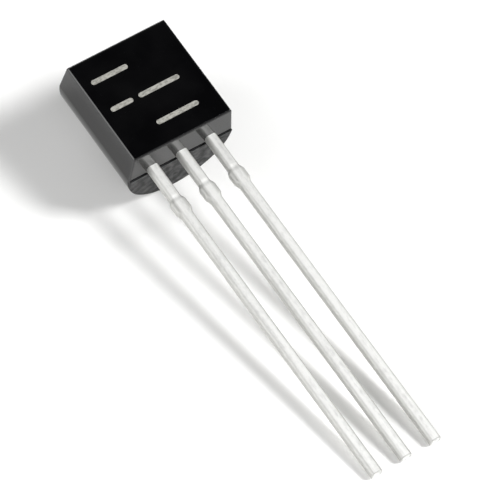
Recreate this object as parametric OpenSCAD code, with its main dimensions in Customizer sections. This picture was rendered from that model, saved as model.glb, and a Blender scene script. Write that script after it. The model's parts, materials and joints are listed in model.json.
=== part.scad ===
// Small plastic transistor with a flat front, a round back and three leads in a row.
// It lies on its round back, flat side up, with the tips of its leads on the surface.
// Built first in its own plane: X across the body, Y up the body and away from the lead tips,
// Z from the back to the flat, with Z = 0 on the parting plane of the mould and Y = 0 where the
// leads leave the front half on that plane. It is then tipped into the place where it rests.

/* [Moulded body] */
// Width of the body on the parting plane, which is the diameter of its round back
body_w = 4.46; // [4.3:0.02:5.2]
// Height of the front half on the parting plane
body_h = 4.67; // [4.5:0.01:5.2]
// Depth of the front half, from the flat to the parting plane
front_depth = 1.28; // [1.15:0.01:1.5]
// Draft of the front half's four sides, in degrees
front_draft = 5; // [2:0.5:8]
// Draft of the rear half's top and bottom, in degrees
rear_draft = 3; // [1:0.5:6]
// How far the rear half reaches below the front half at the leads
rear_step = 0.05; // [0.02:0.01:0.2]
// Rounding of the four edges round the flat
flat_edge_r = 0.1; // [0.04:0.01:0.2]

/* [Leads] */
// Distance from one lead to the next
pitch = 1.27; // [1.2:0.01:1.35]
// Width of a lead across the row
lead_w = 0.46; // [0.38:0.01:0.55]
// Thickness of the strip that the leads are stamped from
lead_t = 0.38; // [0.33:0.01:0.45]
// Length of the leads below the body
lead_len = 14.2; // [10:0.1:16]
// Distance from the body to the middle of the tie bar stubs
stub_y = 1.86; // [1.5:0.02:4]
// Length of the sheared face of a tie bar stub, along the lead
stub_len = 0.56; // [0.3:0.02:1]
// How far a stub stands out from the side of its lead
stub_out = 0.09; // [0.04:0.01:0.15]
// Radius of the inside corner between a stub and its lead
stub_root_r = 0.16; // [0.16:0.01:0.4]

/* [Lead frame inside the body] */
// Height in the body at which the source and gate leads widen into bond posts
post_y = 0.8; // [0.6:0.05:0.9]
// Height of a bond post
post_h = 0.85; // [0.6:0.05:0.95]
// Width of a bond post
post_w = 0.84; // [0.7:0.02:0.9]
// Gap punched between the posts and the paddle
punch_gap = 0.4; // [0.3:0.05:0.5]
// Height of the paddle that carries the die
paddle_h = 1.7; // [1.5:0.05:1.75]
// Width of the paddle
paddle_w = 2.5; // [2.2:0.05:2.7]
// Radius of the locking notches in the paddle's top and left edges
notch_r = 0.2; // [0.1:0.02:0.25]
// Corner radius of the posts and of the paddle
frame_corner_r = 0.1; // [0.05:0.01:0.15]

/* [Die and bond wires] */
// Side of the square silicon die
die_w = 0.76; // [0.5:0.02:0.9]
// Thickness of the die
die_t = 0.2; // [0.15:0.01:0.25]
// How far the attach layer shows beyond the die on each side
attach_margin = 0.05; // [0.02:0.01:0.1]
// Thickness of the attach layer
attach_t = 0.03; // [0.02:0.005:0.05]
// Diameter of the bond wires
wire_d = 0.05; // [0.04:0.005:0.06]
// Height of a wire's loop handle above the die
loop_h = 0.45; // [0.3:0.05:0.5]
// Distance of each bond pad from the die's centre line
pad_x = 0.2; // [0.1:0.02:0.22]
// Diameter of the ball that bonds a wire to the die
ball_d = 0.12; // [0.1:0.01:0.14]
// Height of that ball
ball_h = 0.04; // [0.03:0.005:0.05]
// Length of the foot that is pressed on the post at a wire's other end
foot_len = 0.12; // [0.08:0.01:0.15]
// Thickness of that foot
foot_t = 0.025; // [0.02:0.001:0.03]

/* [Hidden] */
$fn = 96;

// Moulding
back_r = body_w / 2;
front_flare = front_depth * tan(front_draft);
rear_taper = back_r * tan(rear_draft);
heel_y = rear_taper - rear_step;
past = 1;

// Lead frame
post_top = post_y + post_h;
paddle_y = post_top + punch_gap;
paddle_right = pitch + lead_w / 2;
paddle_left = paddle_right - paddle_w;
stub_rise = sqrt(pow(stub_root_r, 2) - pow(stub_root_r - stub_out, 2));

// Die and wires
die_x = (paddle_left + paddle_right) / 2;
die_y = paddle_y + paddle_h / 2;
die_z = lead_t + attach_t;
pad_z = die_z + die_t;
pad_drop = 0.2;
bond_y = post_y + post_h / 2;
wire_sides = 8;
wire_rings = 18;
ball_sides = 12;
landing_start = 0.7;

// Resting place: the heel of the round back and the lead tips touch the surface
lie = atan2(back_r, lead_len + heel_y);
head_reach = max(body_h * cos(lie), (body_h - rear_taper) * cos(lie) + back_r * sin(lie));
tip_reach = lead_len * cos(lie) + lead_t * sin(lie);

module lay_down() {
    translate([0, (tip_reach - head_reach) / 2, lead_len * sin(lie)])
        rotate([lie, 0, 0])
            children();
}

// Distance from the middle of a drafted face to the centre of its edge rounding
function rounding_offset(face, draft, depth, r) =
    (face / 2 * cos(draft) + depth * sin(draft) - r - (depth - r) * sin(draft)) / cos(draft);

// Section of the front half: a trapezoid on the parting plane, with both top corners rounded
module front_section(span) {
    c = rounding_offset(span - 2 * front_flare, front_draft, front_depth, flat_edge_r);
    z = front_depth - flat_edge_r;
    side_x = c + flat_edge_r * cos(front_draft);
    side_z = z + flat_edge_r * sin(front_draft);
    union() {
        polygon([
            [-span / 2, 0],
            [span / 2, 0],
            [side_x, side_z],
            [c, z],
            [c, front_depth],
            [-c, front_depth],
            [-c, z],
            [-side_x, side_z]
        ]);
        for (side = [-1, 1])
            translate([side * c, z])
                circle(r = flat_edge_r);
    }
}

// Front half: the same drafted section across the body and up the body
module front_half() {
    intersection() {
        translate([0, body_h + past, 0])
            rotate([90, 0, 0])
                linear_extrude(height = body_h + 2 * past)
                    front_section(body_w);
        translate([body_w / 2 + past, body_h / 2, 0])
            rotate([90, 0, -90])
                linear_extrude(height = body_w + 2 * past)
                    front_section(body_h);
    }
}

// Rear half: a half cylinder between drafted ends
module rear_half() {
    intersection() {
        translate([0, body_h + past, 0])
            rotate([90, 0, 0])
                cylinder(r = back_r, h = body_h + rear_step + 2 * past);
        translate([-back_r - past, 0, 0])
            rotate([90, 0, 90])
                linear_extrude(height = 2 * (back_r + past))
                    polygon([
                        [-rear_step, 0],
                        [heel_y, -back_r],
                        [heel_y, -back_r - past],
                        [body_h - rear_taper, -back_r - past],
                        [body_h - rear_taper, -back_r],
                        [body_h, 0]
                    ]);
    }
}

// Rectangle with rounded corners, from its lower left corner
module rounded_blank(size, r) {
    union() {
        translate([r, 0])
            square([size[0] - 2 * r, size[1]]);
        translate([0, r])
            square([size[0], size[1] - 2 * r]);
        for (x = [r, size[0] - r], y = [r, size[1] - r])
            translate([x, y])
                circle(r = r);
    }
}

// What is left of the tie bar on both sides of a lead
module tie_bar_stubs() {
    reach = lead_w / 2 + stub_out;
    span = stub_len / 2 + stub_rise;
    translate([0, -stub_y])
        difference() {
            translate([-reach, -span])
                square([2 * reach, 2 * span]);
            for (x = [-1, 1], y = [-1, 1])
                translate([x * (lead_w / 2 + stub_root_r), y * span])
                    circle(r = stub_root_r);
        }
}

// Outline of a lead from its tip up to a height in the body
module lead_outline(top) {
    union() {
        translate([-lead_w / 2, -lead_len])
            square([lead_w, lead_len + top]);
        tie_bar_stubs();
    }
}

module post_outline() {
    translate([-post_w / 2, post_y])
        rounded_blank([post_w, post_h], frame_corner_r);
}

module paddle_outline() {
    difference() {
        translate([paddle_left, paddle_y])
            rounded_blank([paddle_w, paddle_h], frame_corner_r);
        translate([die_x, paddle_y + paddle_h])
            circle(r = notch_r);
        translate([paddle_left, die_y])
            circle(r = notch_r);
    }
}

// Lead that ends in a bond post
module post_lead(x) {
    translate([x, 0, 0])
        linear_extrude(height = lead_t)
            union() {
                lead_outline(post_y + post_h / 2);
                post_outline();
            }
}

// Lead that carries the paddle
module paddle_lead() {
    linear_extrude(height = lead_t)
        union() {
            translate([pitch, 0])
                lead_outline(paddle_y + paddle_h / 2);
            paddle_outline();
        }
}

module die_attach_layer() {
    side = die_w + 2 * attach_margin;
    translate([die_x - side / 2, die_y - side / 2, lead_t])
        cube([side, side, attach_t]);
}

module die_block() {
    translate([die_x - die_w / 2, die_y - die_w / 2, die_z])
        cube([die_w, die_w, die_t]);
}

// Bond wire: a ball on the die, a loop, and a foot pressed flat on its post
function blend(t, a, b, c, d) =
    pow(1 - t, 3) * a + 3 * pow(1 - t, 2) * t * b + 3 * (1 - t) * t * t * c + pow(t, 3) * d;

function blend_slope(t, a, b, c, d) =
    3 * pow(1 - t, 2) * (b - a) + 6 * (1 - t) * t * (c - b) + 3 * t * t * (d - c);

module wire_loop(from, to) {
    run = norm(to - from);
    along = (to - from) / run;
    across = [-along[1], along[0], 0];
    start_z = pad_z + ball_h / 2;
    foot_z = lead_t + foot_t / 2;
    points = [
        for (i = [0 : wire_rings])
            let (
                t = i / wire_rings,
                s = blend(t, 0, 0, landing_start * run, run),
                z = blend(t, start_z, start_z + loop_h, start_z + wire_d, foot_z),
                slope_s = blend_slope(t, 0, 0, landing_start * run, run),
                slope_z = blend_slope(t, start_z, start_z + loop_h, start_z + wire_d, foot_z),
                size = norm([slope_s, slope_z]),
                up = [-slope_z * along[0], -slope_z * along[1], slope_s] / size
            )
            for (k = [0 : wire_sides - 1])
                let (a = 360 * (k + 0.5) / wire_sides)
                [from[0], from[1], 0] + [along[0] * s, along[1] * s, z]
                    + wire_d / 2 * (cos(a) * across + sin(a) * up)
    ];
    sides = [
        for (i = [0 : wire_rings - 1], k = [0 : wire_sides - 1])
            let (
                a = i * wire_sides + k,
                b = i * wire_sides + (k + 1) % wire_sides
            )
            each [[a, a + wire_sides, b], [b, a + wire_sides, b + wire_sides]]
    ];
    first_end = [for (k = [0 : wire_sides - 1]) k];
    last_end = [for (k = [wire_sides - 1 : -1 : 0]) wire_rings * wire_sides + k];
    polyhedron(points, concat(sides, [first_end, last_end]));
}

// Foot of a wire: pressed flat and spread towards its end
module pressed_foot(from, to) {
    translate([to[0], to[1], lead_t])
        rotate([0, 0, atan2(to[1] - from[1], to[0] - from[0])])
            linear_extrude(height = foot_t)
                polygon([
                    [-foot_len / 2, -wire_d / 2],
                    [foot_len / 2, -wire_d],
                    [foot_len / 2, wire_d],
                    [-foot_len / 2, wire_d / 2]
                ]);
}

module bond_wire(pad, post) {
    union() {
        intersection() {
            wire_loop(pad, post);
            translate([0, 0, lead_t])
                linear_extrude(height = front_depth)
                    square(2 * (body_w + body_h), center = true);
        }
        pressed_foot(pad, post);
        translate([pad[0], pad[1], pad_z])
            cylinder(d = ball_d, h = ball_h, $fn = ball_sides);
    }
}

module source_bond() {
    bond_wire([die_x - pad_x, die_y - pad_drop], [-pitch, bond_y]);
}

module gate_bond() {
    bond_wire([die_x + pad_x, die_y - pad_drop], [0, bond_y]);
}

module inner_pieces() {
    post_lead(-pitch);
    post_lead(0);
    paddle_lead();
    die_attach_layer();
    die_block();
    source_bond();
    gate_bond();
}

module body() {
    color("#141414")
        lay_down()
            difference() {
                union() {
                    front_half();
                    rear_half();
                }
                inner_pieces();
            }
}

module source_lead() {
    color("#d9d9d6")
        lay_down()
            post_lead(-pitch);
}

module gate_lead() {
    color("#d9d9d6")
        lay_down()
            post_lead(0);
}

module drain_lead() {
    color("#d9d9d6")
        lay_down()
            paddle_lead();
}

module die_attach() {
    color("#8d8f92")
        lay_down()
            die_attach_layer();
}

module die() {
    color("#5a6270")
        lay_down()
            die_block();
}

module source_wire() {
    color("#d4a640")
        lay_down()
            source_bond();
}

module gate_wire() {
    color("#d4a640")
        lay_down()
            gate_bond();
}

body();
source_lead();
gate_lead();
drain_lead();
die_attach();
die();
source_wire();
gate_wire();
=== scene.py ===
"""Small moulded transistor with three leads, dressed for a studio picture.

Every piece is modelled in the part's own plane, in millimetres: X across the body, Y up the body
and away from the lead tips, Z from the round back to the flat, with Z = 0 on the parting plane of
the mould. It is then laid down, in metres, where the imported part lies.
"""

import json
import logging
import math
from collections.abc import Callable, Iterator
from contextlib import contextmanager
from dataclasses import dataclass, field
from enum import Enum, IntEnum

import bmesh
import bpy
from mathutils import Matrix, Quaternion, Vector

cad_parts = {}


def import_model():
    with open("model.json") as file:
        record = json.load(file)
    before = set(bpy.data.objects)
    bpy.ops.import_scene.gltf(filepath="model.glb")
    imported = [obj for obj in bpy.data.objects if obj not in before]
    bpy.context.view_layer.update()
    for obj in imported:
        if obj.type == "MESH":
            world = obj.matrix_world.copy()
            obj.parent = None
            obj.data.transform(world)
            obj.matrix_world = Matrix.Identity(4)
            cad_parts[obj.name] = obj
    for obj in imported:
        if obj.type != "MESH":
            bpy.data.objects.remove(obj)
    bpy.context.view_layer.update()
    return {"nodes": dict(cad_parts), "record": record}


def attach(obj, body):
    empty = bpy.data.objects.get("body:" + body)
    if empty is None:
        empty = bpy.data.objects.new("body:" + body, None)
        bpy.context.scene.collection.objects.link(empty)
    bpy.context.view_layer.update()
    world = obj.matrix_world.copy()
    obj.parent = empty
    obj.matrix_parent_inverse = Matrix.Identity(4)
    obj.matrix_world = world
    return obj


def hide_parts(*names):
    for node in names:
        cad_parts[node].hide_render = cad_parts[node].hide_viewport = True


log = logging.getLogger("transistor")

MM = 0.001
ROOT_BODY = "root"
MERGE_DISTANCE = 0.0005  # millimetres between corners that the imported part's triangles share
NEAR = 0.0002  # millimetres within which a point lies at a level
FACING = 0.99  # least share of a face's normal along the axis that the face looks along
SMOOTH_ANGLE = math.radians(30)
FLAT_ANGLE = math.radians(1)
NOISE_SPAN = (0.3, 0.7)  # what a noise texture's value mostly covers
COLOUR_A, COLOUR_B, COLOUR_OUT = 6, 7, 2  # sockets of a Mix node that blends colours

Point = tuple[float, float, float]
Span = tuple[float, float]
Colour = tuple[float, float, float, float]


class Slot(Enum):
    """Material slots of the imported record."""

    MOULD_COMPOUND = "mould_compound"
    TINNED_LEAD = "tinned_lead"
    DIE_ATTACH = "die_attach"
    SILICON = "silicon"
    BOND_WIRE = "bond_wire"


class Axis(IntEnum):
    """Axes of the own plane, as places in a vector."""

    X = 0
    Y = 1
    Z = 2


class Element(Enum):
    """Kinds of mesh elements, named as select modes, with their place in a mesh."""

    FACE = "faces"
    EDGE = "edges"
    VERT = "verts"


def linear_from_hex(colour: str) -> Colour:
    """Turns an sRGB hex colour to linear light by the sRGB curve.

    Args:
        colour: The colour as "#RRGGBB".

    Returns:
        Red, green and blue in linear light, and an alpha of one.
    """
    channels = []
    for start in (1, 3, 5):
        value = int(colour[start:start + 2], 16) / 255
        channels.append(value / 12.92 if value <= 0.04045 else ((value + 0.055) / 1.055) ** 2.4)
    return (channels[0], channels[1], channels[2], 1.0)


def set_inputs(
    tree: bpy.types.NodeTree, node: bpy.types.Node, inputs: dict[str | int, object]
) -> None:
    """Gives a node's inputs their constants and links.

    Args:
        tree: The node tree that holds the node.
        node: The node.
        inputs: A constant or an output to link, by the name or the number of the input.
    """
    for key, value in inputs.items():
        if isinstance(value, bpy.types.NodeSocket):
            tree.links.new(value, node.inputs[key])
        else:
            node.inputs[key].default_value = value


def add_node(
    tree: bpy.types.NodeTree,
    kind: str,
    inputs: dict[str | int, object] | None = None,
    **settings: object,
) -> bpy.types.Node:
    """Adds a node with its settings, constants and links.

    Args:
        tree: The node tree that gets the node.
        kind: The node's type name.
        inputs: A constant or an output to link, by the name or the number of the input.
        settings: Attributes of the node itself.

    Returns:
        The new node.
    """
    node = tree.nodes.new(kind)
    for name, setting in settings.items():
        setattr(node, name, setting)
    set_inputs(tree, node, inputs or {})
    return node


@dataclass(frozen=True)
class RestingPlace:
    """How the part's own plane lies on the surface.

    Attributes:
        lean: Angle between the flat and the surface, in radians.
        origin: Where the own plane's origin lies, in metres.
    """

    lean: float
    origin: Vector

    @classmethod
    def from_mount(cls, mount: dict, own_point: Vector) -> "RestingPlace":
        """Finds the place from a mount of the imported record.

        Args:
            mount: The mount, with its position in metres and its axis along the own Z.
            own_point: The same position in the own plane, in millimetres.

        Returns:
            The resting place.
        """
        _, back, up = mount["axis"]
        lean = math.atan2(-back, up)
        turned = Matrix.Rotation(lean, 3, "X") @ (own_point * MM)
        return cls(lean, Vector(mount["pos_m"]) - turned)

    @property
    def matrix(self) -> Matrix:
        """From millimetres in the own plane to metres on the surface."""
        turn = Matrix.Rotation(self.lean, 4, "X")
        return Matrix.Translation(self.origin) @ turn @ Matrix.Scale(MM, 4)

    def own_coordinates(self, tree: bpy.types.NodeTree) -> bpy.types.NodeSocket:
        """Adds nodes that give a surface point in the own plane, in millimetres.

        Args:
            tree: The node tree of a material.

        Returns:
            The output with the coordinates.
        """
        coordinates = add_node(tree, "ShaderNodeTexCoord")
        mapping = add_node(
            tree,
            "ShaderNodeMapping",
            {
                "Vector": coordinates.outputs["Object"],
                "Location": self.origin,
                "Rotation": (self.lean, 0, 0),
                "Scale": (MM, MM, MM),
            },
            vector_type="TEXTURE",
        )
        return mapping.outputs["Vector"]


@dataclass(frozen=True)
class Canvas:
    """A material that is being made.

    Attributes:
        tree: Its node tree.
        shader: Its shader.
        own: The surface point in the own plane, in millimetres.
    """

    tree: bpy.types.NodeTree
    shader: bpy.types.Node
    own: bpy.types.NodeSocket


@dataclass(frozen=True)
class Pattern:
    """An uneven pattern whose grains have a real size.

    Attributes:
        size_mm: Size of a grain along X, Y and Z.
        detail: Octaves of the noise that draws it.
        span: Values between which its colour turns.
    """

    size_mm: Point
    detail: float = 2.0
    span: Span = NOISE_SPAN

    def draw(self, canvas: Canvas) -> bpy.types.NodeSocket:
        """Draws the pattern.

        Args:
            canvas: The material that is being made.

        Returns:
            The pattern's value, from zero to one.
        """
        stretched = add_node(
            canvas.tree,
            "ShaderNodeMapping",
            {"Vector": canvas.own, "Scale": tuple(1 / length for length in self.size_mm)},
        )
        noise = add_node(
            canvas.tree,
            "ShaderNodeTexNoise",
            {"Vector": stretched.outputs["Vector"], "Scale": 1.0, "Detail": self.detail},
        )
        return noise.outputs["Fac"]

    def tint(
        self, canvas: Canvas, value: bpy.types.NodeSocket, weak: str, strong: str
    ) -> bpy.types.NodeSocket:
        """Turns one colour to another where the pattern is strong.

        Args:
            canvas: The material that is being made.
            value: The pattern's value.
            weak: Colour where it is weak, as an sRGB hex value.
            strong: Colour where it is strong, as an sRGB hex value.

        Returns:
            The colour.
        """
        share = add_node(
            canvas.tree,
            "ShaderNodeMapRange",
            {"Value": value, "From Min": self.span[0], "From Max": self.span[1]},
        )
        mixed = add_node(
            canvas.tree,
            "ShaderNodeMix",
            {
                "Factor": share.outputs["Result"],
                COLOUR_A: linear_from_hex(weak),
                COLOUR_B: linear_from_hex(strong),
            },
            data_type="RGBA",
        )
        return mixed.outputs[COLOUR_OUT]


@dataclass(frozen=True)
class Finish:
    """A surface finish that becomes one material.

    Attributes:
        name: Name of the material.
        colour: Base colour as an sRGB hex value.
        roughness: Middle roughness.
        metallic: One for a metal and zero for anything else.
        ior: Index of refraction, or None for the shader's default, which every metal keeps.
        roughness_swing: How far a pattern moves the roughness up and down.
        relief_mm: Height of the finish's relief.
    """

    name: str = "finish"
    colour: str = "#808080"
    roughness: float = 0.5
    metallic: float = 0.0
    ior: float | None = None
    roughness_swing: float = 0.0
    relief_mm: float = 0.0

    def material(self, place: RestingPlace) -> bpy.types.Material:
        """Builds the material.

        Args:
            place: Where the part lies, which the patterns follow.

        Returns:
            The material.
        """
        material = bpy.data.materials.new(self.name)
        material.use_nodes = True
        tree = material.node_tree
        tree.nodes.clear()
        shader = add_node(
            tree,
            "ShaderNodeBsdfPrincipled",
            {
                "Base Color": linear_from_hex(self.colour),
                "Roughness": self.roughness,
                "Metallic": self.metallic,
            },
        )
        if self.ior is not None:
            shader.inputs["IOR"].default_value = self.ior
        add_node(tree, "ShaderNodeOutputMaterial", {"Surface": shader.outputs["BSDF"]})
        self.add_detail(Canvas(tree, shader, place.own_coordinates(tree)))
        return material

    def add_detail(self, canvas: Canvas) -> None:
        """Adds the patterns that are particular to the finish; a plain finish has none.

        Args:
            canvas: The material that is being made.
        """

    def add_unevenness(
        self,
        canvas: Canvas,
        uneven: bpy.types.NodeSocket | None = None,
        relief: bpy.types.NodeSocket | None = None,
    ) -> None:
        """Lets the roughness follow a pattern, and raises the surface by its relief.

        Args:
            canvas: The material that is being made.
            uneven: What the roughness follows, if it isn't even.
            relief: Height in heights of the relief, if the finish has one.
        """
        tree, shader = canvas.tree, canvas.shader
        if uneven is not None:
            level = add_node(
                tree,
                "ShaderNodeMapRange",
                {
                    "Value": uneven,
                    "From Min": NOISE_SPAN[0],
                    "From Max": NOISE_SPAN[1],
                    "To Min": self.roughness - self.roughness_swing,
                    "To Max": self.roughness + self.roughness_swing,
                },
            )
            set_inputs(tree, shader, {"Roughness": level.outputs["Result"]})
        if relief is not None:
            bump = add_node(
                tree,
                "ShaderNodeBump",
                {"Strength": 1.0, "Distance": self.relief_mm * MM, "Height": relief},
            )
            set_inputs(tree, shader, {"Normal": bump.outputs["Normal"]})


@dataclass(frozen=True)
class MouldedEpoxy(Finish):
    """Black epoxy mould compound, transfer moulded in a polished steel mould.

    Gives a near black, glassy skin that mirrors what it stands on, with faint clouds where the
    compound flowed and fine grains of its silica filler. The lower end of the rear half came from
    a rougher face of the mould: it is matt and spotted. The ledge there beside the parting plane
    is painted paler, as painted light that lifts the dark line it makes by mirroring the dim dome.

    Attributes:
        cloud_colour: Colour of the clouds, a little paler than the skin.
        clouds: The clouds.
        polished: Lowest and highest roughness of the skin.
        grain: The filler's grains. Real ones are about a third as large and would not show, so
            they are drawn as coarse as they need to be.
        spots: The spots on the lower end of the rear half.
        matt: Lowest and highest roughness of that end.
        spot_height_mm: Height of a spot.
        end_y_mm: Y from which the lower end fades in, and Y where it has.
        end_z_mm: Z from which the rear half fades in, and Z where it has.
        painted_ledge_colour: Paler colour of the ledge, painted light that lifts its dark line.
        ledge_z_mm: Z from which the ledge's painted light fades in, and Z where it has.
    """

    name: str = "moulded_black_epoxy"
    colour: str = "#050506"
    roughness: float = 0.08
    ior: float | None = 1.62
    relief_mm: float = 0.0012
    cloud_colour: str = "#0B0B0C"
    clouds: Pattern = Pattern((1.4, 1.4, 1.4), detail=3.0, span=(0.35, 0.7))
    polished: Span = (0.065, 0.095)
    grain: Pattern = Pattern((0.09, 0.09, 0.09))
    spots: Pattern = Pattern((0.3, 0.3, 0.3), detail=5.0, span=(0.35, 0.65))
    matt: Span = (0.425, 0.85)
    spot_height_mm: float = 0.006
    end_y_mm: Span = (0.13, 0.1)
    end_z_mm: Span = (0.012, 0.004)
    # Painted light: a paler colour on the ledge beside the parting plane, lifting the dark line it
    # mirrors.
    painted_ledge_colour: str = "#343435"
    ledge_z_mm: Span = (-0.06, -0.04)

    def add_detail(self, canvas: Canvas) -> None:
        """Adds the clouds, the filler's grains, and the lower end of the rear half.

        Args:
            canvas: The material that is being made.
        """
        tree = canvas.tree
        clouds, spots = self.clouds.draw(canvas), self.spots.draw(canvas)
        end, ledge_light = self._lower_end(canvas)
        # Painted light: the ledge beside the parting plane gets a paler colour than the dark line
        # its mirroring of the dim dome would give.
        colour = add_node(
            tree,
            "ShaderNodeMix",
            {
                "Factor": ledge_light,
                COLOUR_A: self.clouds.tint(canvas, clouds, self.colour, self.cloud_colour),
                COLOUR_B: linear_from_hex(self.painted_ledge_colour),
            },
            data_type="RGBA",
        )
        set_inputs(
            tree,
            canvas.shader,
            {
                "Base Color": colour.outputs[COLOUR_OUT],
                "Roughness": self._skin_roughness(canvas, clouds, spots, end),
            },
        )
        raised = add_node(tree, "ShaderNodeMath", {0: spots, 1: end}, operation="MULTIPLY")
        relief = add_node(
            tree,
            "ShaderNodeMath",
            {
                0: raised.outputs["Value"],
                1: self.spot_height_mm / self.relief_mm,
                2: self.grain.draw(canvas),
            },
            operation="MULTIPLY_ADD",
        )
        self.add_unevenness(canvas, relief=relief.outputs["Value"])

    def _lower_end(self, canvas: Canvas) -> tuple[bpy.types.NodeSocket, bpy.types.NodeSocket]:
        """Marks the lower end of the rear half, and the ledge on it.

        Args:
            canvas: The material that is being made.

        Returns:
            One on the end and one on the ledge, and zero on the rest of the skin.
        """
        axes = add_node(canvas.tree, "ShaderNodeSeparateXYZ", {"Vector": canvas.own})
        marks = []
        for axis, span in (("Y", self.end_y_mm), ("Z", self.end_z_mm), ("Z", self.ledge_z_mm)):
            fade = add_node(
                canvas.tree,
                "ShaderNodeMapRange",
                {"Value": axes.outputs[axis], "From Min": span[0], "From Max": span[1]},
            )
            marks.append(fade.outputs["Result"])
        low, behind, beside_parting = marks
        end = add_node(
            canvas.tree, "ShaderNodeMath", {0: low, 1: behind}, operation="MULTIPLY"
        ).outputs["Value"]
        ledge = add_node(
            canvas.tree, "ShaderNodeMath", {0: end, 1: beside_parting}, operation="MULTIPLY"
        ).outputs["Value"]
        return end, ledge

    def _skin_roughness(
        self,
        canvas: Canvas,
        clouds: bpy.types.NodeSocket,
        spots: bpy.types.NodeSocket,
        end: bpy.types.NodeSocket,
    ) -> bpy.types.NodeSocket:
        """Polishes the skin, and leaves the lower end of the rear half matt.

        Args:
            canvas: The material that is being made.
            clouds: The clouds' value.
            spots: The spots' value.
            end: One on the lower end of the rear half.

        Returns:
            The roughness.
        """
        levels = []
        for value, span, roughness in (
            (clouds, NOISE_SPAN, self.polished),
            (spots, self.spots.span, self.matt),
        ):
            level = add_node(
                canvas.tree,
                "ShaderNodeMapRange",
                {
                    "Value": value,
                    "From Min": span[0],
                    "From Max": span[1],
                    "To Min": roughness[0],
                    "To Max": roughness[1],
                },
            )
            levels.append(level.outputs["Result"])
        mixed = add_node(
            canvas.tree,
            "ShaderNodeMix",
            {"Factor": end, "A": levels[0], "B": levels[1]},
            data_type="FLOAT",
        )
        return mixed.outputs["Result"]


@dataclass(frozen=True)
class TinPlate(Finish):
    """Matte tin, plated on stamped copper alloy strip.

    Gives a soft, pale, even metal that glows broadly under a soft light, with faint streaks along
    the strip from rolling and a slight orange peel. The sheared sides are greyer, and the same
    grey is painted over the rounded long edges and round the cut end's rim as painted shade that
    outlines each lead.

    Attributes:
        streak_colour: Colour of the streaks.
        streaks: The streaks, long along the lead; their span is for streaks times blotches.
        blotches: The blotches that break them up and make the roughness uneven.
        peel: The orange peel. Real bumps are some 0.02 mm and would not show, so they are drawn
            as coarse as they need to be.
        sheared_and_shade_colour: Colour of the sheared sides, and of the painted shade on the
            rounded long edges and the cut end's rim.
        pitch_mm: From one lead to the next.
        side_mm: From a lead's middle, where the sheared sides' grey and the painted shade fade in
            over the rounded edge, and where they have.
        rim_y_mm: Y from which the cut end's rim fades in, and Y where it has.
        face_y_mm: Y of the cut face, which is no rim, and Y where the rim begins.
    """

    name: str = "matte_tin_plate"
    colour: str = "#F2F2F0"
    roughness: float = 0.66
    metallic: float = 1.0
    roughness_swing: float = 0.05
    relief_mm: float = 0.003
    streak_colour: str = "#DDDDDB"
    streaks: Pattern = Pattern((0.16, 4.0, 0.3), span=(0.2, 0.42))
    blotches: Pattern = Pattern((0.14, 0.28, 0.14), detail=3.0)
    peel: Pattern = Pattern((0.12, 0.24, 0.12))
    # Grey of the sheared sides, also used as painted shade on the rounded long edges and the tip's
    # rim.
    sheared_and_shade_colour: str = "#C8C8C5"
    pitch_mm: float = 1.27
    side_mm: Span = (0.1, 0.21)
    rim_y_mm: Span = (-14.145, -14.165)
    face_y_mm: Span = (-14.2, -14.195)

    def add_detail(self, canvas: Canvas) -> None:
        """Adds the streaks, the blotches, the orange peel and the sheared places.

        Args:
            canvas: The material that is being made.
        """
        blotches = self.blotches.draw(canvas)
        broken = add_node(
            canvas.tree,
            "ShaderNodeMath",
            {0: self.streaks.draw(canvas), 1: blotches},
            operation="MULTIPLY",
        ).outputs["Value"]
        # Painted shade: the sheared sides' grey also covers the rounded long edges and the cut
        # end's rim, outlining each lead.
        colour = add_node(
            canvas.tree,
            "ShaderNodeMix",
            {
                "Factor": self._sheared_and_shaded(canvas),
                COLOUR_A: self.streaks.tint(canvas, broken, self.colour, self.streak_colour),
                COLOUR_B: linear_from_hex(self.sheared_and_shade_colour),
            },
            data_type="RGBA",
        )
        set_inputs(canvas.tree, canvas.shader, {"Base Color": colour.outputs[COLOUR_OUT]})
        self.add_unevenness(canvas, blotches, self.peel.draw(canvas))

    def _sheared_and_shaded(self, canvas: Canvas) -> bpy.types.NodeSocket:
        """Marks the sheared sides, and the rounded long edges and the cut end's rim where shade is
        painted.

        Args:
            canvas: The material that is being made.

        Returns:
            One on the sheared sides and where shade is painted, and zero on the rest of the rolled
            faces.
        """
        axes = add_node(canvas.tree, "ShaderNodeSeparateXYZ", {"Vector": canvas.own})
        # Painted shade: the side mask reaches in over the rounded long edges, and the rim mask
        # greys the cut end's rim but not its cut face.
        off_middle = add_node(
            canvas.tree,
            "ShaderNodeMath",
            {0: axes.outputs["X"], 1: self.pitch_mm / 2},
            operation="PINGPONG",
        )
        marks = []
        for value, span in (
            (off_middle.outputs["Value"], self.side_mm),
            (axes.outputs["Y"], self.rim_y_mm),
            (axes.outputs["Y"], self.face_y_mm),
        ):
            fade = add_node(
                canvas.tree,
                "ShaderNodeMapRange",
                {"Value": value, "From Min": span[0], "From Max": span[1]},
            )
            marks.append(fade.outputs["Result"])
        side, past_shank, before_face = marks
        rim = add_node(
            canvas.tree, "ShaderNodeMath", {0: past_shank, 1: before_face}, operation="MULTIPLY"
        )
        sheared_and_shade = add_node(
            canvas.tree, "ShaderNodeMath", {0: side, 1: rim.outputs["Value"]}, operation="MAXIMUM"
        )
        return sheared_and_shade.outputs["Value"]


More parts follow.
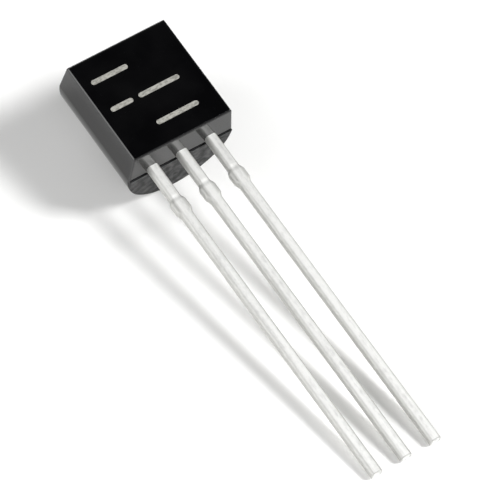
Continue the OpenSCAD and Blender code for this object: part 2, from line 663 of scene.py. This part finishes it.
@dataclass(frozen=True)
class LaserMark(Finish):
    """Epoxy skin burnt pale by a marking laser.

    Gives a dull warm grey, speckled along the rows that the beam leaves.

    Attributes:
        gap_colour: Colour between the rows.
        burn: The burnt rows. A real row is about half as high and would not show, so it is drawn
            as coarse as it needs to be.
    """

    name: str = "laser_marked_epoxy"
    colour: str = "#A3A29B"
    roughness: float = 0.75
    relief_mm: float = 0.002
    gap_colour: str = "#7C7B75"
    burn: Pattern = Pattern((0.12, 0.06, 0.06), span=(0.4, 0.62))

    def add_detail(self, canvas: Canvas) -> None:
        """Adds the uneven burn.

        Args:
            canvas: The material that is being made.
        """
        burn = self.burn.draw(canvas)
        colour = self.burn.tint(canvas, burn, self.colour, self.gap_colour)
        set_inputs(canvas.tree, canvas.shader, {"Base Color": colour})
        self.add_unevenness(canvas, relief=burn)


@dataclass(frozen=True)
class DullSolder(Finish):
    """Die attach solder, reflowed and left to freeze.

    Gives a dull grey metal with a frosty grain.

    Attributes:
        grain: The frosty grain. Real grains are some 0.01 mm and would not show, so they are
            drawn as coarse as they need to be.
    """

    name: str = "reflowed_die_attach_solder"
    colour: str = "#9FA2A5"
    roughness: float = 0.48
    metallic: float = 1.0
    roughness_swing: float = 0.1
    relief_mm: float = 0.002
    grain: Pattern = Pattern((0.03, 0.03, 0.03), detail=4.0)

    def add_detail(self, canvas: Canvas) -> None:
        """Adds the frosty grain.

        Args:
            canvas: The material that is being made.
        """
        grain = self.grain.draw(canvas)
        self.add_unevenness(canvas, grain, grain)


@dataclass(frozen=True)
class PatternedSilicon(Finish):
    """Silicon die, its cell pattern etched and covered with glassy passivation.

    Gives a dark blue grey face, mirror smooth, with a fine grid of paler lines.

    Attributes:
        line_colour: Colour of the lines between the cells.
        cell_mm: Side of a cell. Real cells are a few micrometres and would not show, so they are
            drawn as coarse as they need to be.
        line_share: Width of a line as a share of a cell.
    """

    name: str = "etched_silicon"
    colour: str = "#3A414D"
    roughness: float = 0.12
    ior: float | None = 2.0
    line_colour: str = "#56657C"
    cell_mm: float = 0.05
    line_share: float = 0.08

    def add_detail(self, canvas: Canvas) -> None:
        """Adds the grid of cells.

        Args:
            canvas: The material that is being made.
        """
        cells = add_node(
            canvas.tree,
            "ShaderNodeTexBrick",
            {
                "Vector": canvas.own,
                "Scale": 1 / self.cell_mm,
                "Color1": linear_from_hex(self.colour),
                "Color2": linear_from_hex(self.colour),
                "Mortar": linear_from_hex(self.line_colour),
                "Mortar Size": self.line_share,
                "Brick Width": 1.0,
                "Row Height": 1.0,
            },
            offset=0.0,
        )
        set_inputs(canvas.tree, canvas.shader, {"Base Color": cells.outputs["Color"]})


@dataclass(frozen=True)
class DrawnGold(Finish):
    """Gold bond wire, drawn through a die.

    Gives a warm bright metal with faint lines along the wire.

    Attributes:
        lines: The drawing lines. Real ones are under a micrometre wide and would not show, so
            they are drawn as coarse as they need to be.
    """

    name: str = "drawn_gold_wire"
    colour: str = "#E8B84F"
    roughness: float = 0.23
    metallic: float = 1.0
    roughness_swing: float = 0.07
    lines: Pattern = Pattern((0.012, 0.12, 0.012))

    def add_detail(self, canvas: Canvas) -> None:
        """Adds the drawing lines.

        Args:
            canvas: The material that is being made.
        """
        self.add_unevenness(canvas, self.lines.draw(canvas))


def select_only(piece: bpy.types.Object) -> None:
    """Makes a piece the only selected and the active object.

    Args:
        piece: The piece.
    """
    bpy.ops.object.select_all(action="DESELECT")
    piece.select_set(True)
    bpy.context.view_layer.objects.active = piece


@contextmanager
def editing(piece: bpy.types.Object) -> Iterator[None]:
    """Opens a piece in edit mode, and leaves it in object mode.

    Args:
        piece: The piece to shape.

    Yields:
        Nothing; the operators act on the open piece.
    """
    select_only(piece)
    bpy.ops.object.mode_set(mode="EDIT")
    try:
        yield
    finally:
        bpy.ops.object.mode_set(mode="OBJECT")


def pick(
    piece: bpy.types.Object,
    kind: Element,
    wanted: Callable[[bmesh.types.BMFace | bmesh.types.BMEdge | bmesh.types.BMVert], bool],
) -> None:
    """Selects the wanted elements of the piece in edit mode, and nothing else.

    Args:
        piece: The piece.
        kind: Kind of the elements.
        wanted: Whether an element is wanted.
    """
    bpy.ops.mesh.select_mode(type=kind.name)
    bpy.ops.mesh.select_all(action="DESELECT")
    mesh = bmesh.from_edit_mesh(piece.data)
    for element in getattr(mesh, kind.value):
        if wanted(element):
            element.select_set(True)
    bmesh.update_edit_mesh(piece.data)


def turns(edge: bmesh.types.BMEdge) -> bool:
    """Whether the surface turns sharply at an edge."""
    return len(edge.link_faces) == 2 and edge.calc_face_angle(0.0) > SMOOTH_ANGLE


def lies_at(edge: bmesh.types.BMEdge, axis: Axis, level: float) -> bool:
    """Whether both ends of an edge lie at a level of one axis."""
    return all(abs(vertex.co[axis] - level) < NEAR for vertex in edge.verts)


def bake_transform() -> None:
    """Puts the selected piece's place into its mesh, so that its object sits at the origin."""
    bpy.ops.object.transform_apply(location=True, rotation=True, scale=True)


def smooth(piece: bpy.types.Object) -> None:
    """Shades a piece smooth except at its sharp edges, with flat faces kept flat.

    Args:
        piece: The piece.
    """
    select_only(piece)
    bpy.ops.object.shade_smooth_by_angle(angle=SMOOTH_ANGLE)
    weighted = piece.modifiers.new("even_faces", "WEIGHTED_NORMAL")
    weighted.keep_sharp = True
    bpy.ops.object.modifier_apply(modifier=weighted.name)


def lay_down(piece: bpy.types.Object, place: RestingPlace) -> None:
    """Takes a piece from the own plane, in millimetres, to where it lies, in metres.

    Args:
        piece: The piece.
        place: Where the part lies.
    """
    select_only(piece)
    piece.matrix_world = place.matrix
    bake_transform()


def dress(piece: bpy.types.Object, material: bpy.types.Material) -> None:
    """Gives a piece its material, and lets it ride with the part.

    Args:
        piece: A piece in its place.
        material: Its finish.
    """
    piece.data.materials.clear()
    piece.data.materials.append(material)
    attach(piece, ROOT_BODY)


@dataclass(frozen=True)
class MouldedBody:
    """The body: a drafted front half and a round rear half, moulded in one piece.

    Attributes:
        width: Width at the parting plane, in millimetres like every length here.
        height: Height of the front half at the parting plane.
        front_depth: From the parting plane to the flat.
        front_draft: Lean of the front half's four sides, in degrees.
        rear_draft: Lean of the rear half's two ends, in degrees.
        rear_step: How far the rear half stands out under the front half, at the leads.
        flat_edge_r: Radius of the edges round the flat.
        rim_r: Radius of the front half's corners and the rear half's rims.
        step_r: Radius of the step's edge.
        arc_sides: Sides of the whole round that the rear half is a half of.
        cut_allowance: What the round has to spare at each end for the cuts.
        edge_steps: Faces across a rounded edge.
        finish: The body's finish.
    """

    width: float = 4.46
    height: float = 4.67
    front_depth: float = 1.28
    front_draft: float = 5.0
    rear_draft: float = 3.0
    rear_step: float = 0.05
    flat_edge_r: float = 0.1
    rim_r: float = 0.05
    step_r: float = 0.045
    arc_sides: int = 256
    cut_allowance: float = 1.0
    edge_steps: int = 8
    finish: MouldedEpoxy = field(default_factory=MouldedEpoxy)

    @property
    def flat_centre(self) -> Vector:
        """The middle of the flat."""
        return Vector((0, self.height / 2, self.front_depth))

    @property
    def flat_size(self) -> Vector:
        """Width and height of the flat, up to where its edges would meet unrounded."""
        flare = self.front_depth * math.tan(math.radians(self.front_draft))
        return Vector((self.width - 2 * flare, self.height - 2 * flare))

    def build(self, place: RestingPlace) -> bpy.types.Object:
        """Models and dresses the body.

        Args:
            place: Where the part lies.

        Returns:
            The finished piece.
        """
        piece = self._half_cylinder()
        self._cut_rear_ends(piece)
        self._raise_front_half(piece)
        self._round_edges(piece)
        smooth(piece)
        lay_down(piece, place)
        dress(piece, self.finish.material(place))
        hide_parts("body")
        return piece

    def _half_cylinder(self) -> bpy.types.Object:
        """Starts with a cylinder along Y and keeps what is behind the parting plane.

        Returns:
            The half cylinder, longer than the body at both ends.
        """
        bpy.ops.object.select_all(action="DESELECT")
        bpy.ops.mesh.primitive_cylinder_add(
            vertices=self.arc_sides,
            radius=self.width / 2,
            depth=self.height + 2 * self.cut_allowance,
            location=(0, self.height / 2, 0),
            rotation=(math.radians(90), 0, 0),
        )
        piece = bpy.context.object
        piece.name = "moulded_body"
        bake_transform()
        self._cut(piece, (0, 0, 0), (0, 0, 1))
        return piece

    def _cut(self, piece: bpy.types.Object, through: Point, outwards: Point) -> None:
        """Cuts off what lies outside a plane, and closes the cut.

        Args:
            piece: The piece to cut.
            through: A point of the plane.
            outwards: The plane's normal, towards what goes.
        """
        with editing(piece):
            bpy.ops.mesh.select_all(action="SELECT")
            bpy.ops.mesh.bisect(
                plane_co=through, plane_no=outwards, use_fill=True, clear_outer=True
            )

    def _cut_rear_ends(self, piece: bpy.types.Object) -> None:
        """Cuts both drafted ends of the rear half.

        Args:
            piece: The half cylinder.
        """
        draft = math.radians(self.rear_draft)
        across, down = math.cos(draft), -math.sin(draft)
        self._cut(piece, (0, -self.rear_step, 0), (0, -across, down))
        self._cut(piece, (0, self.height, 0), (0, across, down))

    def _raise_front_half(self, piece: bpy.types.Object) -> None:
        """Raises the front half from the parting plane, and leaves the step at the leads.

        Args:
            piece: The rear half.
        """
        flat = self.flat_size
        with editing(piece):
            pick(piece, Element.FACE, lambda face: face.normal.z > FACING)
            bpy.ops.mesh.bisect(plane_co=(0, 0, 0), plane_no=(0, 1, 0))
            pick(
                piece,
                Element.FACE,
                lambda face: face.normal.z > FACING and face.calc_center_median().y > 0,
            )
            bpy.ops.mesh.extrude_region_move(
                TRANSFORM_OT_translate={"value": (0, 0, self.front_depth)}
            )
            bpy.ops.transform.resize(
                value=(flat.x / self.width, flat.y / self.height, 1),
                center_override=self.flat_centre,
            )

    def _round_edges(self, piece: bpy.types.Object) -> None:
        """Rounds the edges round the flat, and less so the corners, the rims and the step.

        Args:
            piece: The body with sharp edges.
        """

        def at_flat(edge: bmesh.types.BMEdge) -> bool:
            """Whether a sharp edge goes round the flat."""
            return turns(edge) and lies_at(edge, Axis.Z, self.front_depth)

        def at_rim(edge: bmesh.types.BMEdge) -> bool:
            """Whether a sharp edge lies neither round the flat nor in the parting plane."""
            return turns(edge) and not (
                lies_at(edge, Axis.Z, self.front_depth) or lies_at(edge, Axis.Z, 0)
            )

        def at_step(edge: bmesh.types.BMEdge) -> bool:
            """Whether a sharp edge is the step's."""
            return turns(edge) and lies_at(edge, Axis.Y, -self.rear_step)

        radii = ((at_flat, self.flat_edge_r), (at_rim, self.rim_r), (at_step, self.step_r))
        with editing(piece):
            for wanted, radius in radii:
                pick(piece, Element.EDGE, wanted)
                bpy.ops.transform.edge_bevelweight(value=radius / self.flat_edge_r)
        turn = math.radians(90 - self.front_draft)
        rounding = piece.modifiers.new("edge_rounding", "BEVEL")
        rounding.limit_method = "WEIGHT"
        rounding.width = self.flat_edge_r * math.tan(turn / 2)
        rounding.segments = self.edge_steps
        select_only(piece)
        bpy.ops.object.modifier_apply(modifier=rounding.name)


@dataclass(frozen=True)
class StampedLeads:
    """The three stamped leads, each with a rounded shank and the stubs of the cut tie bar.

    Attributes:
        length: From the body to the tip, in millimetres like every length here.
        shank_top: Height inside the body where the shank leaves the stamping's inner end.
        edge_r: Width of the rounding of the shank's long edges.
        edge_steps: Faces across that rounding.
        tip_r: Width of the rounding of the cut end.
        tip_steps: Faces across that rounding.
        stub_y: From the body to the middle of the stubs.
        stub_reach: From the middle of a stub to where it has run out.
        stub_slope: Length over which a stub runs out.
        stub_out: How far a stub stands out from the shank.
        dent_y: From the body to the middle of the shear's dent.
        dent_reach: From the middle of the dent to where it has run out.
        dent_depth: How deep the dent is.
        dent_share: Share of the top's height above which the shank is pressed down.
        rings: Steps along the stubs.
        names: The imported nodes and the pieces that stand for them.
        finish: The leads' finish.
    """

    length: float = 14.2
    shank_top: float = 0.3
    edge_r: float = 0.13
    edge_steps: int = 6
    tip_r: float = 0.03
    tip_steps: int = 2
    stub_y: float = 1.86
    stub_reach: float = 0.42
    stub_slope: float = 0.26
    stub_out: float = 0.09
    dent_y: float = 1.5
    dent_reach: float = 0.16
    dent_depth: float = 0.009
    dent_share: float = 0.6
    rings: int = 36
    names: tuple[tuple[str, str], ...] = (
        ("source_lead", "tinned_source_lead"),
        ("gate_lead", "tinned_gate_lead"),
        ("drain_lead", "tinned_drain_lead"),
    )
    finish: TinPlate = field(default_factory=TinPlate)

    def build(
        self, nodes: dict[str, bpy.types.Object], place: RestingPlace
    ) -> list[bpy.types.Object]:
        """Models and dresses the leads, each from its own inner end.

        Args:
            nodes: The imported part's nodes.
            place: Where the part lies.

        Returns:
            The finished pieces.
        """
        material = self.finish.material(place)
        pieces = []
        for node, name in self.names:
            piece = self._inner_end(nodes[node], name, place)
            self._draw_shank(piece)
            self._round_shank(piece)
            self._press_stubs(piece)
            smooth(piece)
            lay_down(piece, place)
            dress(piece, material)
            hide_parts(node)
            pieces.append(piece)
        return pieces

    def _inner_end(
        self, node: bpy.types.Object, name: str, place: RestingPlace
    ) -> bpy.types.Object:
        """Takes the stamping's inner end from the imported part, cut off inside the moulding.

        Args:
            node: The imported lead.
            name: Name of the new piece.
            place: Where the part lies.

        Returns:
            The inner end, closed where it is cut.
        """
        piece = bpy.data.objects.new(name, node.data.copy())
        bpy.context.scene.collection.objects.link(piece)
        piece.data.transform(place.matrix.inverted())
        with editing(piece):
            bpy.ops.mesh.select_all(action="SELECT")
            bpy.ops.mesh.remove_doubles(threshold=MERGE_DISTANCE)
            bpy.ops.mesh.dissolve_limited(angle_limit=FLAT_ANGLE)
            bpy.ops.mesh.select_all(action="SELECT")
            bpy.ops.mesh.bisect(
                plane_co=(0, self.shank_top, 0),
                plane_no=(0, -1, 0),
                use_fill=True,
                clear_outer=True,
            )
        return piece

    def _draw_shank(self, piece: bpy.types.Object) -> None:
        """Draws the shank out of the cut, down to the tip.

        Args:
            piece: The inner end.
        """

        def at_cut(face: bmesh.types.BMFace) -> bool:
            """Whether a face is the cut one."""
            level = face.calc_center_median().y
            return face.normal.y < -FACING and abs(level - self.shank_top) < NEAR

        with editing(piece):
            pick(piece, Element.FACE, at_cut)
            bpy.ops.mesh.extrude_region_move(
                TRANSFORM_OT_translate={"value": (0, -self.length - self.shank_top, 0)}
            )

    def _round_shank(self, piece: bpy.types.Object) -> None:
        """Rounds the shank's long edges, and its cut end a little.

        Args:
            piece: The lead with its square shank.
        """

        def along_shank(edge: bmesh.types.BMEdge) -> bool:
            """Finds the sharp edges that run along the shank.

            Args:
                edge: An edge of the lead.

            Returns:
                Whether it is one of them.
            """
            below = max(vertex.co.y for vertex in edge.verts) < self.shank_top + NEAR
            at_end = lies_at(edge, Axis.Y, self.shank_top) or lies_at(edge, Axis.Y, -self.length)
            return turns(edge) and below and not at_end

        with editing(piece):
            pick(piece, Element.EDGE, along_shank)
            bpy.ops.mesh.bevel(offset=self.edge_r, segments=self.edge_steps, affect="EDGES")
            pick(
                piece,
                Element.EDGE,
                lambda edge: turns(edge) and lies_at(edge, Axis.Y, -self.length),
            )
            bpy.ops.mesh.bevel(offset=self.tip_r, segments=self.tip_steps, affect="EDGES")

    def _press_stubs(self, piece: bpy.types.Object) -> None:
        """Rings the shank where the tie bar was, spreads the stubs and presses the shear's dent.

        Args:
            piece: The lead with its rounded shank.
        """
        first, last = self.dent_y - self.dent_reach, self.stub_y + self.stub_reach
        levels = [-first - (last - first) * ring / self.rings for ring in range(self.rings + 1)]
        with editing(piece):
            for level in levels:
                bpy.ops.mesh.select_all(action="SELECT")
                bpy.ops.mesh.bisect(plane_co=(0, level, 0), plane_no=(0, 1, 0))
        points = [vertex.co for vertex in piece.data.vertices]
        across = [point.x for point in points if abs(point.y - levels[0]) < NEAR]
        middle = (min(across) + max(across)) / 2
        upper = self.dent_share * max(point.z for point in points)

        def on_side(vertex: bmesh.types.BMVert) -> bool:
            """Whether a vertex of the present ring lies on the present side."""
            return abs(vertex.co.y - level) < NEAR and side * (vertex.co.x - middle) > 0

        def on_top(vertex: bmesh.types.BMVert) -> bool:
            """Whether a vertex of the present ring lies at the top."""
            return abs(vertex.co.y - level) < NEAR and vertex.co.z > upper

        with editing(piece):
            for level in levels:
                for side in (-1, 1):
                    pick(piece, Element.VERT, on_side)
                    bpy.ops.transform.translate(value=(side * self.spread(level), 0, 0))
                pick(piece, Element.VERT, on_top)
                bpy.ops.transform.translate(value=(0, 0, -self.dent(level)))

    def spread(self, level: float) -> float:
        """How far a stub stands out at a level.

        Args:
            level: Place along Y.

        Returns:
            The distance from the shank's side.
        """
        share = (self.stub_reach - abs(level + self.stub_y)) / self.stub_slope
        share = min(max(share, 0.0), 1.0)
        return self.stub_out * share * share * (3 - 2 * share)

    def dent(self, level: float) -> float:
        """How deep the shear's dent is at a level.

        Args:
            level: Place along Y.

        Returns:
            The depth under the shank's top.
        """
        share = min(abs(level + self.dent_y) / self.dent_reach, 1.0)
        return self.dent_depth * (1 + math.cos(math.pi * share)) / 2


@dataclass(frozen=True)
class InnerPieces:
    """What the moulding hides: the die on its attach layer, and the bond wires.

    Attributes:
        solder: Finish of the attach layer.
        silicon: Finish of the die.
        gold: Finish of the wires.
    """

    solder: DullSolder = field(default_factory=DullSolder)
    silicon: PatternedSilicon = field(default_factory=PatternedSilicon)
    gold: DrawnGold = field(default_factory=DrawnGold)

    def build(
        self, nodes: dict[str, bpy.types.Object], place: RestingPlace
    ) -> list[bpy.types.Object]:
        """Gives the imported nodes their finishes.

        Args:
            nodes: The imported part's nodes.
            place: Where the part lies.

        Returns:
            The finished pieces.
        """
        gold = self.gold.material(place)
        finishes = (
            ("die_attach", self.solder.material(place), Slot.DIE_ATTACH),
            ("die", self.silicon.material(place), Slot.SILICON),
            ("source_wire", gold, Slot.BOND_WIRE),
            ("gate_wire", gold, Slot.BOND_WIRE),
        )
        for name, material, slot in finishes:
            dress(nodes[name], material)
        return [nodes[name] for name, _, _ in finishes]


@dataclass(frozen=True)
class Bar:
    """A plain bar of the marking.

    Attributes:
        left: X where it starts, in millimetres like every length here.
        right: X where it ends.
        height: Height of its middle over the flat's centre.
    """

    left: float
    right: float
    height: float


@dataclass(frozen=True)
class PlainMarking:
    """Plain laser marked bars in three rows on the flat, where such a part carries its marking.

    Attributes:
        bars: The bars.
        stroke: Height of a bar, in millimetres like every length here.
        proud: How far a bar stands proud of the flat, and as far it goes in.
        end_share: Share of half the stroke that each corner is rounded by.
        corner_steps: Faces across a rounded corner.
        finish: The bars' finish.
    """

    bars: tuple[Bar, ...] = (
        Bar(-1.7, -0.15, 1.22),
        Bar(-1.7, -0.75, -0.06),
        Bar(-0.5, 1.25, -0.06),
        Bar(-0.55, 1.25, -1.32),
    )
    stroke: float = 0.2
    proud: float = 0.003
    end_share: float = 0.98
    corner_steps: int = 8
    finish: LaserMark = field(default_factory=LaserMark)

    def build(self, centre: Vector, place: RestingPlace) -> bpy.types.Object:
        """Models and dresses the marking.

        Args:
            centre: The middle of the flat, in the own plane.
            place: Where the part lies.

        Returns:
            The finished piece.
        """
        pieces = [self._bar(bar, centre) for bar in self.bars]
        piece = pieces[0]
        select_only(piece)
        for other in pieces[1:]:
            other.select_set(True)
        bpy.ops.object.join()
        piece.name = "laser_marking"
        smooth(piece)
        lay_down(piece, place)
        dress(piece, self.finish.material(place))
        return piece

    def _bar(self, bar: Bar, centre: Vector) -> bpy.types.Object:
        """Models one bar with round ends.

        Args:
            bar: Where it lies.
            centre: The middle of the flat, in the own plane.

        Returns:
            The bar.
        """
        middle = centre + Vector(((bar.left + bar.right) / 2, bar.height, 0))
        bpy.ops.object.select_all(action="DESELECT")
        bpy.ops.mesh.primitive_cube_add(size=1, location=middle)
        piece = bpy.context.object
        piece.scale = (bar.right - bar.left, self.stroke, 2 * self.proud)
        bake_transform()
        with editing(piece):
            pick(
                piece,
                Element.EDGE,
                lambda edge: abs(edge.verts[0].co.z - edge.verts[1].co.z) > NEAR,
            )
            bpy.ops.mesh.bevel(
                offset=self.end_share * self.stroke / 2,
                segments=self.corner_steps,
                affect="EDGES",
                clamp_overlap=True,
            )
        return piece


def direction(azimuth: float, elevation: float) -> Vector:
    """Gives the way from the part to a bearing and a height.

    Args:
        azimuth: Bearing in degrees; 0 is in front of the tips and 90 on the drain lead's side.
        elevation: Height above the surface in degrees.

    Returns:
        The unit vector.
    """
    bearing, height = math.radians(azimuth), math.radians(elevation)
    level = math.cos(height)
    return Vector((math.sin(bearing) * level, -math.cos(bearing) * level, math.sin(height)))


@dataclass(frozen=True)
class Softbox:
    """A soft rectangular light that looks at the part.

    Attributes:
        name: Name of the light.
        azimuth: Bearing in degrees, as in direction().
        elevation: Height above the surface in degrees.
        width: Width in metres.
        height: Height in metres.
        radiance: Brightness of its face.
        distance: Distance in metres.
    """

    name: str
    azimuth: float
    elevation: float
    width: float
    height: float
    radiance: float
    distance: float = 0.5

    def build(self) -> None:
        """Adds the light to the scene, unseen by the camera."""
        light = bpy.data.lights.new(self.name, "AREA")
        light.shape = "RECTANGLE"
        light.size, light.size_y = self.width, self.height
        light.energy = self.radiance * math.pi * self.width * self.height
        away = direction(self.azimuth, self.elevation)
        lamp = bpy.data.objects.new(self.name, light)
        lamp.location = away * self.distance
        lamp.rotation_mode = "QUATERNION"
        lamp.rotation_quaternion = (-away).to_track_quat("-Z", "Y")
        lamp.visible_camera = False
        bpy.context.scene.collection.objects.link(lamp)


@dataclass(frozen=True)
class StudioPaper(Finish):
    """Pale background paper, calendered. Gives an even, matt, nearly white ground."""

    name: str = "pale_studio_paper"
    colour: str = "#FBFBFA"
    roughness: float = 0.9


@dataclass(frozen=True)
class Studio:
    """A pale floor, three soft boxes, and a dome that is bright low down and dim above.

    The flat mirrors the dim top of the dome and stays black, and the sides mirror the pale floor.
    The key's bearing keeps its glint off the lower edge of the flat.

    Attributes:
        floor_side: Side of the floor in metres.
        paper: Finish of the floor.
        horizon: Strength of the dome low down.
        zenith: Strength of the dome overhead.
        dome_fade: Z of the direction where the dome starts to dim, and where it has.
        dark_side: Share of its strength that the dome keeps on the drain lead's side.
        dark_fade: X of the direction where that side starts to dim, and where it has.
        softboxes: The lights.
    """

    floor_side: float = 8.0
    paper: StudioPaper = field(default_factory=StudioPaper)
    horizon: float = 0.78
    zenith: float = 0.01
    dome_fade: Span = (0.5, 0.88)
    dark_side: float = 0.1
    dark_fade: Span = (0.3, 0.7)
    softboxes: tuple[Softbox, ...] = (
        Softbox("key_softbox", azimuth=54, elevation=45, width=0.14, height=0.14, radiance=40.0),
        Softbox("front_softbox", azimuth=-30, elevation=38, width=0.45, height=0.25, radiance=1.6),
        Softbox("left_softbox", azimuth=-110, elevation=28, width=0.3, height=0.5, radiance=2.2),
    )

    def build(self, place: RestingPlace) -> None:
        """Builds the floor, the dome and the lights.

        Args:
            place: Where the part lies.
        """
        self._lay_floor(place)
        self._light_dome()
        for softbox in self.softboxes:
            softbox.build()
        bpy.context.scene.view_settings.view_transform = "Standard"

    def _lay_floor(self, place: RestingPlace) -> None:
        """Lays the pale floor.

        Args:
            place: Where the part lies.
        """
        bpy.ops.object.select_all(action="DESELECT")
        bpy.ops.mesh.primitive_plane_add(size=self.floor_side)
        floor = bpy.context.object
        floor.name = "studio_floor"
        floor.data.materials.append(self.paper.material(place))

    def _light_dome(self) -> None:
        """Lights the world from low down, and less from overhead and from the dark side."""
        world = bpy.data.worlds.new("studio_dome")
        bpy.context.scene.world = world
        world.use_nodes = True
        tree = world.node_tree
        tree.nodes.clear()
        coordinates = add_node(tree, "ShaderNodeTexCoord")
        axes = add_node(
            tree, "ShaderNodeSeparateXYZ", {"Vector": coordinates.outputs["Generated"]}
        )
        shares = []
        for axis, span, (start, stop) in (
            ("Z", self.dome_fade, (self.horizon, self.zenith)),
            ("X", self.dark_fade, (1.0, self.dark_side)),
        ):
            fade = add_node(
                tree,
                "ShaderNodeMapRange",
                {
                    "Value": axes.outputs[axis],
                    "From Min": span[0],
                    "From Max": span[1],
                    "To Min": start,
                    "To Max": stop,
                },
            )
            shares.append(fade.outputs["Result"])
        strength = add_node(
            tree, "ShaderNodeMath", {0: shares[0], 1: shares[1]}, operation="MULTIPLY"
        )
        background = add_node(
            tree,
            "ShaderNodeBackground",
            {"Color": (1.0, 1.0, 1.0, 1.0), "Strength": strength.outputs["Value"]},
        )
        add_node(tree, "ShaderNodeOutputWorld", {"Surface": background.outputs["Background"]})


@dataclass(frozen=True)
class Viewpoint:
    """Where the photograph was taken from.

    Attributes:
        azimuth: Bearing in degrees, as in direction().
        elevation: Height above the surface in degrees.
        roll: Turn of the camera about its line of sight, in degrees.
        distance: From what the camera looks at, in millimetres.
        lens: Focal length in millimetres.
        look_at: What it looks at, in millimetres on the surface.
        nearest: Nearest distance that it sees, in millimetres.
    """

    azimuth: float = -38.41
    elevation: float = 53.55
    roll: float = 4.33
    distance: float = 154.88
    lens: float = 313.2
    look_at: Point = (-0.218, -0.063, 1.941)
    nearest: float = 10.0

    def build(self) -> None:
        """Adds the camera and makes it the scene's."""
        away = direction(self.azimuth, self.elevation)
        camera = bpy.data.objects.new("camera", bpy.data.cameras.new("camera"))
        camera.data.lens = self.lens
        camera.data.clip_start = self.nearest * MM
        camera.location = (Vector(self.look_at) + away * self.distance) * MM
        camera.rotation_mode = "QUATERNION"
        level = (-away).to_track_quat("-Z", "Y")
        camera.rotation_quaternion = level @ Quaternion((0, 0, 1), math.radians(self.roll))
        bpy.context.scene.collection.objects.link(camera)
        bpy.context.scene.camera = camera


def main() -> None:
    """Builds the dressed part, its studio and its camera, and reports each piece."""
    logging.basicConfig(level=logging.INFO, format="%(name)s: %(message)s")
    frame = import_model()
    body = MouldedBody()
    flat = next(mount for mount in frame["record"]["mounts"] if mount["name"] == "flat")
    place = RestingPlace.from_mount(flat, body.flat_centre)
    pieces = [
        body.build(place),
        *StampedLeads().build(frame["nodes"], place),
        *InnerPieces().build(frame["nodes"], place),
        PlainMarking().build(body.flat_centre, place),
    ]
    for piece in pieces:
        mesh = piece.data
        log.info("%s: %d faces, %s", piece.name, len(mesh.polygons), mesh.materials[0].name)
    Studio().build(place)
    Viewpoint().build()


if __name__ == "__main__":
    main()
